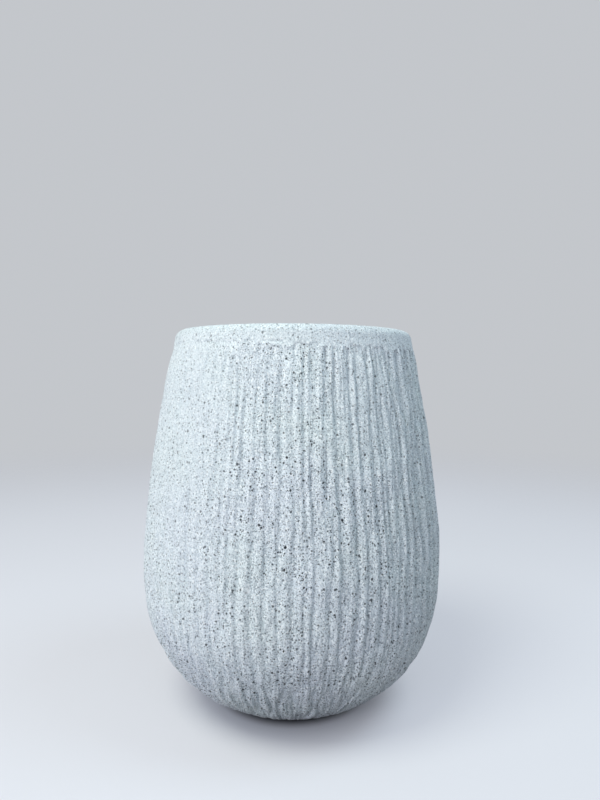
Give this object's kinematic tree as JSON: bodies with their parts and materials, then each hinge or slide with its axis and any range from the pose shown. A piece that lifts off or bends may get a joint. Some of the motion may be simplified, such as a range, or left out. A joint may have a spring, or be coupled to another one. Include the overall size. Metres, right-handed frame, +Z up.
{
  "type": "planter",
  "caption": "Egg-shaped fibrecast planter with combed vertical ribs, a smooth rounded rim band, an open inside and a rubber drain stopper.",
  "frame": {"origin": "centre of the foot, on the surface that the pot stands on", "axes": "+Z up along the pot's axis, towards the mouth; the side seen in the picture faces -Y"},
  "size_m": [0.326, 0.3259, 0.4],
  "materials": {
    "fibrecast": "matt off-white with dark specks",
    "stopper_rubber": "matt black"
  },
  "bodies": {
    "pot": {"pot_shell": "fibrecast"},
    "plug": {"drain_plug": "stopper_rubber"}
  },
  "joints": [
    {"name": "stopper_lift", "type": "slide", "parent": "pot", "child": "plug", "axis": [0, 0, 1], "range_m": [0, 0.42]}
  ]
}
